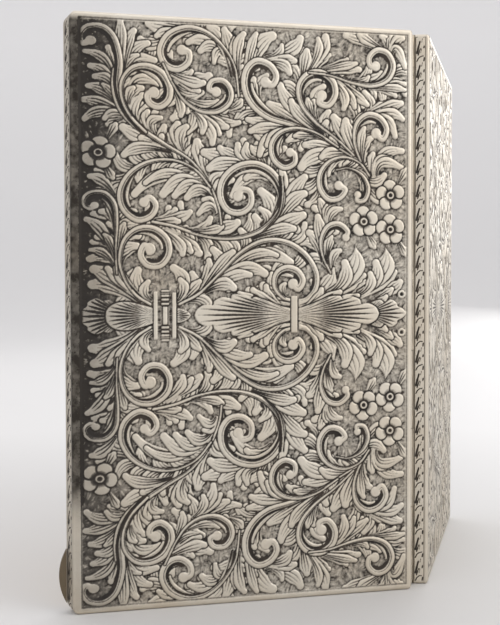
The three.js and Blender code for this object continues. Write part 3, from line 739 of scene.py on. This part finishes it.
def cover_panel(name, body, node, place, board_height, board_dark, pitch, shade):
    """Engraved grid with a rounded edge, a lap inside the walls and a flat back."""
    inset = lean(RIM_DEPTH) + EDGE
    x0, x1 = -WIDTH + inset, -inset
    z0, z1 = EDGE, LENGTH - EDGE
    nx = int(round((x1 - x0) / pitch)) + 1
    nz = int(round((z1 - z0) / pitch)) + 1
    gx, gz = np.meshgrid(np.linspace(x0, x1, nx), np.linspace(z0, z1, nz))
    across = gx + PANEL_WIDTH
    field = smooth((across - FIELD_LEFT) / 0.4) * smooth((FIELD_RIGHT - across) / 0.35)
    field = field * smooth((gz - FIELD_LOW) / 0.35) * smooth((FIELD_HIGH - gz) / 0.35)
    drawn_x = across + STRETCH * (1 - smooth((across - FIELD_LEFT) / STRETCH_OVER))
    height = sample(board_height, drawn_x, gz) * field
    outside = np.maximum(np.maximum(FIELD_LEFT + 0.1 - across, across - FIELD_RIGHT - 0.05),
                         np.maximum(FIELD_LOW + 0.1 - gz, gz - FIELD_HIGH - 0.05))
    frame_line = ridge(outside, 0.12)
    height = height - 0.05 * frame_line
    dark = np.maximum(sample(board_dark, drawn_x, gz) * field, 0.6 * frame_line)
    points = [np.stack([gx, -HALF_DEPTH - height, gz], -1).reshape(-1, 3)]
    number = np.arange(nx * nz).reshape(nz, nx)
    corner_sets = [number[:-1, :-1], number[:-1, 1:], number[1:, 1:], number[1:, :-1]]
    quads = [np.stack(corner_sets, -1).reshape(-1, 4)]
    turn = np.linspace(0, math.pi / 2, FAN)
    base, way = [], []
    sides = [
        (number[0, 1:-1], (0, -1)),
        (number[1:-1, -1], (1, 0)),
        (number[-1, 1:-1][::-1], (0, 1)),
        (number[1:-1, 0][::-1], (-1, 0)),
    ]
    corners = [number[0, -1], number[-1, -1], number[-1, 0], number[0, 0]]
    for k, (line, out) in enumerate(sides):
        base.append(line)
        way.append(np.tile(out, (len(line), 1)))
        following = np.array(sides[(k + 1) % 4][1], float)
        base.append(np.full(FAN, corners[k]))
        way.append(np.cos(turn)[:, None] * np.array(out, float) + np.sin(turn)[:, None] * following)
    base = np.concatenate(base)
    way = np.concatenate(way).astype(float)
    start = points[0][base].copy()
    start[:, 1] = -HALF_DEPTH
    rings = [base]
    count = nx * nz
    steps = [(EDGE * math.sin(a), -HALF_DEPTH + EDGE * (1 - math.cos(a)))
             for a in np.linspace(0, math.pi / 2, FAN + 1)[1:]]
    lap = EDGE - WALL - SEAM
    steps += [(lap, -RIM_DEPTH), (lap, -HALF_DEPTH + PLATE)]
    for out, y in steps:
        ring_points = start.copy()
        ring_points[:, 0] += way[:, 0] * out
        ring_points[:, 2] += way[:, 1] * out
        ring_points[:, 1] = y
        points.append(ring_points)
        rings.append(np.arange(count, count + len(base)))
        count += len(base)
    bands(rings, quads)
    points.append(np.array([[(x0 + x1) / 2, -HALF_DEPTH + PLATE, LENGTH / 2]]))
    last = rings[-1]
    fan = np.stack([last, np.full(len(last), count), np.roll(last, -1)], 1)
    points = round_corners(np.vstack(points))
    faces = [[v for k, v in enumerate(q) if v != q[k - 1]] for q in np.vstack(quads[1:]).tolist()]
    faces = quads[0].tolist() + faces + fan.tolist()
    oxide = np.zeros(len(points))
    oxide[:nx * nz] = dark.reshape(-1)
    return build(name, points, faces, oxide, shade(points), body, node, place)


# strokes of the running border, mm: two ends (across it, along it), half width
BORDER_STROKES = [
    ((0.40, 1.45), (0.66, 2.45), 0.14), ((0.66, 2.45), (0.96, 3.35), 0.11),
    ((0.60, 1.05), (0.82, 1.6), 0.08), ((0.82, 1.6), (1.06, 2.15), 0.06),
    ((0.36, 0.0), (0.66, 0.5), 0.07), ((0.66, 0.5), (1.1, 0.8), 0.06), ((1.1, 0.8), (1.7, 0.9), 0.05),
    ((1.80, 0.1), (1.86, 0.55), 0.09), ((1.8, 2.35), (1.84, 2.6), 0.09),
    ((1.3, 3.2), (1.5, 3.9), 0.03), ((1.15, 1.4), (1.3, 2.2), 0.03),
]


def border(u, v):
    """How dark and deep the running border of the side walls is cut at a place."""
    dark = np.zeros(u.shape)
    for (ua, va), (ub, vb), half in BORDER_STROKES:
        for shift in (-BORDER_UNIT, 0.0, BORDER_UNIT):
            du, dv = ub - ua, vb - va
            pu = u - ua
            pv = v - va - shift
            f = np.clip((pu * du + pv * dv) / (du * du + dv * dv), 0, 1)
            gap = np.hypot(pu - f * du, pv - f * dv)
            dark = np.maximum(dark, np.clip(1.7 - gap / (1.2 * half), 0, 1))
    for line in (0.1, BORDER_WIDTH - 0.02):
        dark = np.maximum(dark, 0.8 * ridge(u - line, 0.06))
    return dark


def side_walls(name, body, node, place):
    """One strip bent round four sides, engraved outside and coved along the hinge."""
    depth = RIM_DEPTH - SEAM
    parts = []
    arc = np.linspace(0, math.pi / 2, FAN)[1:-1]
    length, width = LENGTH - 2 * EDGE, WIDTH - 2 * EDGE
    long_side = np.linspace(EDGE, LENGTH - EDGE, int(length / FRONT_PITCH))
    short_side = np.linspace(EDGE, WIDTH - EDGE, int(width / FRONT_PITCH))

    def straight(x, z, out, run, size):
        """Points of one side: their place, the way out, and how far along the side they are."""
        one = np.ones_like(run)
        parts.append(np.stack([x * one, z * one, out[0] * one, out[1] * one, run - EDGE, size * one], 1))

    def corner(cx, cz, a0):
        """Points round one corner; -1 stands for their place along a side."""
        a = a0 - arc
        parts.append(np.stack([cx + EDGE * np.cos(a), cz + EDGE * np.sin(a), np.cos(a), np.sin(a),
                               -np.ones_like(a), np.ones_like(a)], 1))

    straight(-WIDTH, long_side, (-1, 0), long_side, length)
    corner(-WIDTH + EDGE, LENGTH - EDGE, math.pi)
    straight(-WIDTH + short_side, LENGTH, (0, 1), short_side, width)
    corner(-EDGE, LENGTH - EDGE, math.pi / 2)
    straight(0.0, long_side[::-1], (1, 0), long_side, length)
    corner(-EDGE, EDGE, 0)
    straight(-short_side, 0.0, (0, -1), short_side, width)
    corner(-WIDTH + EDGE, EDGE, -math.pi / 2)
    loop = np.vstack(parts)
    x, z, ox, oz, run, size = loop.T
    swing = np.clip((x + WIDTH / 2) / (WIDTH / 2 - EDGE), -1, 1)

    def coved(at):
        """Depth of the rim: just off the parting plane, and round the hinge cove."""
        return np.maximum(np.sqrt(np.maximum(COVE ** 2 - np.minimum(-at, COVE) ** 2, 0)), PARTING)

    rows = []
    darks = []
    fractions = np.concatenate([[0, 0.02], np.linspace(0.05, 1, int(depth / FRONT_PITCH))])
    top = coved(x)
    for k, f in enumerate(fractions):
        d = top + (depth - top) * f
        u = BORDER_FOOT - (depth - d)
        u = np.where(ox > 0.99, (d - top) / (depth - top) * (BORDER_WIDTH + 0.05), u)
        units = np.maximum(np.round(size / BORDER_UNIT), 1)
        v = (run / size * units) % 1 * BORDER_UNIT
        flat = run >= 0
        dark = np.where(flat & (d < depth - 0.05), border(u, v), 0)
        off = (RIM_CHAMFER if k == 0 else 0.0) + BORDER_DEPTH * dark
        px = x - swing * lean(d) - ox * off
        pz = z - oz * off
        rows.append(round_corners(np.stack([px, -d, pz], 1)))
        darks.append(dark)
    xi = x - ox * WALL
    zi = z - oz * WALL
    top_in = coved(xi)
    for d in (np.full_like(x, depth), top_in):
        rows.append(np.stack([xi - swing * lean(d), -d, zi], 1))
        darks.append(np.zeros_like(x))
    m = len(loop)
    rings = [np.arange(k * m, (k + 1) * m) for k in range(len(rows))]
    rings.append(rings[0])
    quads = []
    bands(rings, quads)
    # painted dark reflection on the opening-side wall
    tarnish_and_painted_reflection = np.tile(WALL_PAINTED_REFLECTION * (ox < -0.7), len(rows))
    return build(name, np.vstack(rows), np.vstack(quads).tolist(), np.concatenate(darks), tarnish_and_painted_reflection,
                 body, node, place)


# ---- materials
def shader(name):
    """A new material, its node tree and its surface node."""
    material = bpy.data.materials.new(name)
    material.use_nodes = True
    tree = material.node_tree
    return material, tree, tree.nodes["Principled BSDF"]


def add(tree, kind, **values):
    """A new node with the given settings."""
    node = tree.nodes.new(kind)
    for key, value in values.items():
        setattr(node, key, value)
    return node


def noise(tree, scale, detail=3.0, stretch=None):
    """Noise in object space; scale is in features per metre."""
    place = add(tree, "ShaderNodeTexCoord")
    source = place.outputs["Object"]
    if stretch:
        mapping = add(tree, "ShaderNodeMapping")
        mapping.inputs["Scale"].default_value = stretch
        tree.links.new(source, mapping.inputs["Vector"])
        source = mapping.outputs["Vector"]
    texture = add(tree, "ShaderNodeTexNoise")
    texture.inputs["Scale"].default_value = scale
    texture.inputs["Detail"].default_value = detail
    tree.links.new(source, texture.inputs["Vector"])
    return texture.outputs["Fac"]


def remap(tree, source, a, b, c, d):
    """Maps a..b of a value to c..d."""
    node = add(tree, "ShaderNodeMapRange")
    for k, value in enumerate((a, b, c, d)):
        node.inputs[k + 1].default_value = value
    tree.links.new(source, node.inputs[0])
    return node.outputs[0]


def mix_color(tree, factor, a, b):
    """Colour a where the factor is 0 and colour b where it is 1."""
    node = add(tree, "ShaderNodeMix", data_type="RGBA")
    for socket, value in ((node.inputs[6], a), (node.inputs[7], b)):
        if isinstance(value, tuple):
            socket.default_value = (*value, 1.0)
        else:
            tree.links.new(value, socket)
    tree.links.new(factor, node.inputs[0])
    return node.outputs[2]


def combine(tree, operation, a, b):
    """Arithmetic of a value with another value or a number."""
    node = add(tree, "ShaderNodeMath", operation=operation)
    tree.links.new(a, node.inputs[0])
    if isinstance(b, float):
        node.inputs[1].default_value = b
    else:
        tree.links.new(b, node.inputs[1])
    return node.outputs[0]


def bump(tree, height, strength):
    """Surface normal of a fine grain."""
    node = add(tree, "ShaderNodeBump")
    node.inputs["Strength"].default_value = strength
    node.inputs["Distance"].default_value = GRAIN * MM
    tree.links.new(height, node.inputs["Height"])
    return node.outputs["Normal"]


SILVER = (0.70, 0.65, 0.56)
SILVER_WARM = (0.63, 0.56, 0.455)
OXIDE = (0.017, 0.013, 0.010)
OXIDE_BROWN = (0.045, 0.033, 0.024)
# colour of the tarnish and of the painted dark reflection
PAINTED_REFLECTION_AND_TARNISH = (0.022, 0.018, 0.015)
GRAIN = 0.04          # depth of the metals' grain, mm


def ramp(tree, source, a, b):
    """Maps a..b of a value to 0..1."""
    return remap(tree, source, a, b, 0.0, 1.0)


def engraved_silver():
    """Worn silver that turns to oxide in the cuts, and dark with tarnish and with a painted dark
    reflection, less so on its crests.
    """
    material, tree, bsdf = shader("engraved_silver_oxidised")
    oxide = add(tree, "ShaderNodeAttribute", attribute_name="oxide").outputs["Fac"]
    tarnish_and_painted_reflection = add(tree, "ShaderNodeAttribute", attribute_name="tarnish_and_painted_reflection").outputs["Fac"]
    cloud = ramp(tree, noise(tree, 90, 4), 0.35, 0.7)
    fine = noise(tree, 2600, 3)
    bright = mix_color(tree, cloud, SILVER, SILVER_WARM)
    deep = mix_color(tree, ramp(tree, noise(tree, 420, 3), 0.4, 0.65), OXIDE, OXIDE_BROWN)
    uneven = remap(tree, fine, 0.3, 0.7, -0.08, 0.08)
    cut = ramp(tree, combine(tree, "ADD", oxide, uneven), 0.05, 0.66)
    color = mix_color(tree, cut, bright, deep)
    # the painted dark reflection and the tarnish stay lighter on the crests and darker in the cuts
    tarnish_and_painted_reflection = combine(tree, "MULTIPLY", tarnish_and_painted_reflection, remap(tree, cut, 0.0, 0.45, 0.50, 1.1))
    patchy = remap(tree, noise(tree, 700, 6), 0.35, 0.65, 0.78, 1.0)
    tarnish_and_painted_reflection = combine(tree, "MULTIPLY", tarnish_and_painted_reflection, patchy)
    color = mix_color(tree, combine(tree, "MINIMUM", tarnish_and_painted_reflection, 0.97), color, PAINTED_REFLECTION_AND_TARNISH)
    tree.links.new(color, bsdf.inputs["Base Color"])
    tree.links.new(remap(tree, cut, 0.0, 1.0, 0.96, 0.35), bsdf.inputs["Metallic"])
    scratch = noise(tree, 900, 2, (1.0, 1.0, 0.06))
    rough = combine(tree, "ADD", remap(tree, cut, 0.0, 1.0, 0.43, 0.68),
                    remap(tree, scratch, 0.3, 0.7, -0.05, 0.06))
    tree.links.new(rough, bsdf.inputs["Roughness"])
    grain = combine(tree, "ADD", fine, combine(tree, "MULTIPLY", scratch, 0.6))
    tree.links.new(bump(tree, grain, 0.16), bsdf.inputs["Normal"])
    return material


def plain_metal(name, color, worn_color, roughness, scratch_scale, stretch):
    """Satin metal with fine lines drawn along its height, soft stains and rubbed spots."""
    material, tree, bsdf = shader(name)
    stain = remap(tree, noise(tree, 70, 5), 0.38, 0.72, 0.0, 0.8)
    lines = noise(tree, scratch_scale, 4, (1.0, 1.0, stretch))
    rubbed = remap(tree, noise(tree, 520, 5), 0.56, 0.68, 0.0, 0.35)
    base = mix_color(tree, stain, color, worn_color)
    base = mix_color(tree, remap(tree, lines, 0.35, 0.65, 0.0, 0.35), base, worn_color)
    base = mix_color(tree, rubbed, base, tuple(1.12 * c for c in color))
    tree.links.new(base, bsdf.inputs["Base Color"])
    bsdf.inputs["Metallic"].default_value = 1.0
    rough = combine(tree, "ADD", remap(tree, stain, 0.0, 1.0, roughness, roughness + 0.1),
                    remap(tree, lines, 0.3, 0.7, -0.06, 0.09))
    tree.links.new(rough, bsdf.inputs["Roughness"])
    grain = combine(tree, "ADD", lines, combine(tree, "MULTIPLY", noise(tree, 2400, 3), 0.35))
    tree.links.new(bump(tree, grain, 0.22), bsdf.inputs["Normal"])
    return material


# ---- placing the halves
hinge = next(j["pos_m"] for j in frame["joints"] if j["name"] == "cover_hinge")
to_hinge = Matrix.Translation((hinge[0], hinge[1], 0))
scale_mm = Matrix.Scale(MM, 4)
front_place = to_hinge @ scale_mm
turned_over = Matrix.Translation((0, 0, LENGTH)) @ Matrix.Rotation(math.pi, 4, "X")
back_place = to_hinge @ Matrix.Rotation(math.radians(-OPEN_ANGLE), 4, "Z") @ scale_mm @ turned_over

drawn = draw_panel()

# painted dark reflection on the front cover, along its opening edge
DARK_FROM, DARK_RISE = 14, 8    # the plain border is dark from this height up, over this rise
DARK_WIDTH = 9.5                # how far the painted dark reflection reaches over the field
EVEN_TARNISH = 0.08             # the back cover's
WALL_PAINTED_REFLECTION = 0.45             # the opening-side walls' painted dark reflection


def front_painted_reflection(points):
    """Painted dark reflection: dark towards the opening edge, less so at its foot and not on its outer
    rounding.
    """
    across = points[:, 0] + PANEL_WIDTH
    up = points[:, 2]
    inside = smooth((95.6 - up) / 1.2) * smooth((up - 0.3) / 0.8) * smooth((across + 0.5) / 0.3)
    above = smooth((up - DARK_FROM) / DARK_RISE)
    edge = (1 - smooth((across - 1.6) / 0.5)) * (0.45 + 1.55 * above)
    broad = 1.12 * (1 - smooth((across - 2.0) / DARK_WIDTH)) * (0.72 + 0.28 * smooth((up - 18) / 20))
    broad = broad * smooth((across - 1.0) / 0.6 + 0.8 * above)
    return np.maximum(edge, broad) * inside


def even_tarnish(points):
    """The same light tarnish everywhere."""
    return np.full(len(points), EVEN_TARNISH)


front_panel = cover_panel("front_cover_engraved", "front_cover", "front_cover_plate", front_place,
                          blur(drawn.height, 1.2), blur(drawn.dark, 1.0), FRONT_PITCH, front_painted_reflection)
# the back cover's oxide is drawn at 0.8: a painted sheen, lighter and of lower contrast as if lit at a
# grazing angle
back_panel = cover_panel("back_cover_engraved", "back_cover", "back_cover_plate", back_place,
                         0.85 * blur(drawn.height, 1.5), 0.8 * blur(drawn.dark, 1.3),
                         BACK_PITCH, even_tarnish)
front_walls = side_walls("front_walls_engraved", "front_cover", "front_side_walls", front_place)
back_walls = side_walls("back_walls_engraved", "back_cover", "back_side_walls", back_place)

engraved = engraved_silver()
for piece in (front_panel, back_panel, front_walls, back_walls):
    piece.data.materials.append(engraved)

# CAD nodes that keep their own mesh, by the finish that they carry
SOFT_EDGE = 0.08
LIP_EDGE = 0.2
GOLD, GOLD_WORN = (0.80, 0.58, 0.27), (0.60, 0.40, 0.17)
BRIGHT_GOLD, BRIGHT_GOLD_WORN = (0.88, 0.68, 0.36), (0.74, 0.52, 0.25)
STEEL, STEEL_WORN = (0.50, 0.50, 0.49), (0.40, 0.40, 0.39)
LIP, LIP_WORN = (0.20, 0.16, 0.11), (0.10, 0.08, 0.055)

polished = plain_metal("plain_silver_polished", SILVER, SILVER_WARM, 0.26, 700, 0.08)
FINISHES = [
    (polished, ["front_hinge_bearer", "back_hinge_bearer"]
     + [f"front_knuckle_{k}" for k in (1, 2, 3, 4)] + [f"back_knuckle_{k}" for k in (1, 2, 3)]),
    (plain_metal("gilding_satin", GOLD, GOLD_WORN, 0.30, 1500, 0.02), ["front_lining", "back_lining"]),
    (plain_metal("gilding_polished", BRIGHT_GOLD, BRIGHT_GOLD_WORN, 0.18, 1500, 0.05),
     ["snap_bezel", "catch_rivet_lower", "catch_rivet_upper", "retainer_lug_upper",
      "retainer_lug_lower", "retainer_rod", "retainer_frame"]),
    (plain_metal("spring_steel_satin", STEEL, STEEL_WORN, 0.32, 900, 0.1),
     ["hinge_pin", "catch_spring", "retainer_spring_upper", "retainer_spring_lower"]),
    # the thumb lip is dark brown, with polished edges
    (plain_metal("thumb_lip_dark", LIP, LIP_WORN, 0.34, 600, 0.1), ["thumb_lip"]),
]
for finish, names in FINISHES:
    for name in names:
        node = frame["nodes"][name]
        node.data.materials.clear()
        node.data.materials.append(finish)
        weld = node.modifiers.new("weld", "WELD")
        weld.merge_threshold = 0.002 * MM
        soften = node.modifiers.new("soften", "BEVEL")
        soften.width = SOFT_EDGE * MM
        soften.segments = 2
        soften.limit_method = "ANGLE"
        soften.angle_limit = math.radians(35)
        soften.harden_normals = True
        if name == "thumb_lip":
            node.data.materials.append(polished)
            soften.width = LIP_EDGE * MM
            soften.material = 1

# ---- floor and light
# painted shadow: the paper darkens towards the case; painted light: it pales where it rises into the
# backdrop
PAPER_NEAR_PAINTED_SHADOW = (0.60, 0.59, 0.575)
PAPER_FAR = (0.72, 0.71, 0.695)
PAPER_WALL_PAINTED_LIGHT = (0.85, 0.84, 0.825)
SWEEP_FLAT = 0.7      # metres: radius of the flat floor, and of the curve that rises from it
SWEEP_RISE = 1.1
paper, tree, bsdf = shader("pale_paper")
away = add(tree, "ShaderNodeVectorMath", operation="LENGTH")
spot = add(tree, "ShaderNodeTexCoord").outputs["Object"]
level = add(tree, "ShaderNodeSeparateXYZ")
tree.links.new(spot, away.inputs[0])
tree.links.new(spot, level.inputs[0])
mottle = remap(tree, noise(tree, 4, 2), 0.3, 0.7, -0.06, 0.06)
# painted shadow round the case, fading out between 3 and 20 cm
painted_shadow_fade = combine(tree, "ADD", ramp(tree, away.outputs["Value"], 0.03, 0.20), mottle)
# painted light: paler up the backdrop
painted_wall_light = ramp(tree, level.outputs["Z"], 0.0, 0.4)
paper_color = mix_color(tree, painted_wall_light, mix_color(tree, painted_shadow_fade, PAPER_NEAR_PAINTED_SHADOW, PAPER_FAR), PAPER_WALL_PAINTED_LIGHT)
tree.links.new(paper_color, bsdf.inputs["Base Color"])
bsdf.inputs["Roughness"].default_value = 0.6


def sweep(name, material, steps=20, around=72):
    """Round floor whose rim curves up into the backdrop."""
    profile = [(0.0, 0.0)]
    for k in range(steps + 1):
        a = math.pi / 2 * k / steps
        profile.append((SWEEP_FLAT + SWEEP_RISE * math.sin(a), SWEEP_RISE * (1 - math.cos(a))))
    points = [(0.0, 0.0, 0.0)]
    for r, z in profile[1:]:
        for k in range(around):
            a = 2 * math.pi * k / around
            points.append((r * math.cos(a), r * math.sin(a), z))
    faces = [(0, 1 + k, 1 + (k + 1) % around) for k in range(around)]
    for row in range(len(profile) - 2):
        low_row, high_row = 1 + row * around, 1 + (row + 1) * around
        for k in range(around):
            n = (k + 1) % around
            faces.append((low_row + k, high_row + k, high_row + n, low_row + n))
    mesh = bpy.data.meshes.new(name)
    mesh.from_pydata(points, [], faces)
    mesh.shade_smooth()
    mesh.materials.append(material)
    thing = show(name, mesh)


sweep("floor", paper)

world = bpy.data.worlds.new("studio")
bpy.context.scene.world = world
world.use_nodes = True
sky = world.node_tree.nodes["Background"]
sky.inputs["Color"].default_value = (0.86, 0.86, 0.90, 1)
sky.inputs["Strength"].default_value = 1.0

AIM = Vector((0, 0, 0.05))      # metres: the lamps face the middle of the case


def softbox(name, place, size, power, color=(1, 1, 1)):
    """Soft lamp that faces the case; place and size in metres, power in watts."""
    data = bpy.data.lights.new(name, "AREA")
    data.shape = "RECTANGLE"
    data.size, data.size_y = size
    data.energy = power
    data.color = color
    lamp = show(name, data)
    lamp.location = place
    lamp.visible_camera = False
    lamp.rotation_euler = (AIM - Vector(place)).to_track_quat("-Z", "Y").to_euler()


softbox("key_high", (0.30, -0.30, 0.75), (0.6, 0.6), 1.2, (1.0, 0.98, 0.95))
softbox("fill_right", (0.62, -0.60, 0.36), (0.5, 0.5), 1.85, (1.0, 0.99, 0.97))
softbox("fill_left", (-0.50, -0.62, 0.30), (0.4, 0.4), 0.7, (1.0, 0.99, 0.97))
softbox("rim_back", (0.0, 0.50, 0.55), (0.8, 0.4), 0.9)
softbox("back_right", (0.60, 0.60, 0.22), (0.5, 0.3), 1.3)

# ---- camera
# fitted to the outline of the case in the photo, with the other sizes above
CAMERA_PLACE = Vector((-65.13, -213.37, 54.27)) * MM
CAMERA_TURN = math.radians(15.2)
CAMERA_PITCH = math.radians(-1.83)
CAMERA_ROLL = math.radians(-0.08)
camera_data = bpy.data.cameras.new("camera")
camera_data.lens = 67.2
camera_data.sensor_width = 36
camera_data.clip_start = 0.01
camera = show("camera", camera_data)
ahead = Vector((math.sin(CAMERA_TURN) * math.cos(CAMERA_PITCH),
                math.cos(CAMERA_TURN) * math.cos(CAMERA_PITCH), math.sin(CAMERA_PITCH)))
camera.rotation_mode = "QUATERNION"
roll = Matrix.Rotation(CAMERA_ROLL, 3, "Z").to_quaternion()
camera.rotation_quaternion = ahead.to_track_quat("-Z", "Y") @ roll
camera.location = CAMERA_PLACE
bpy.context.scene.camera = camera
bpy.context.scene.view_settings.view_transform = "Standard"
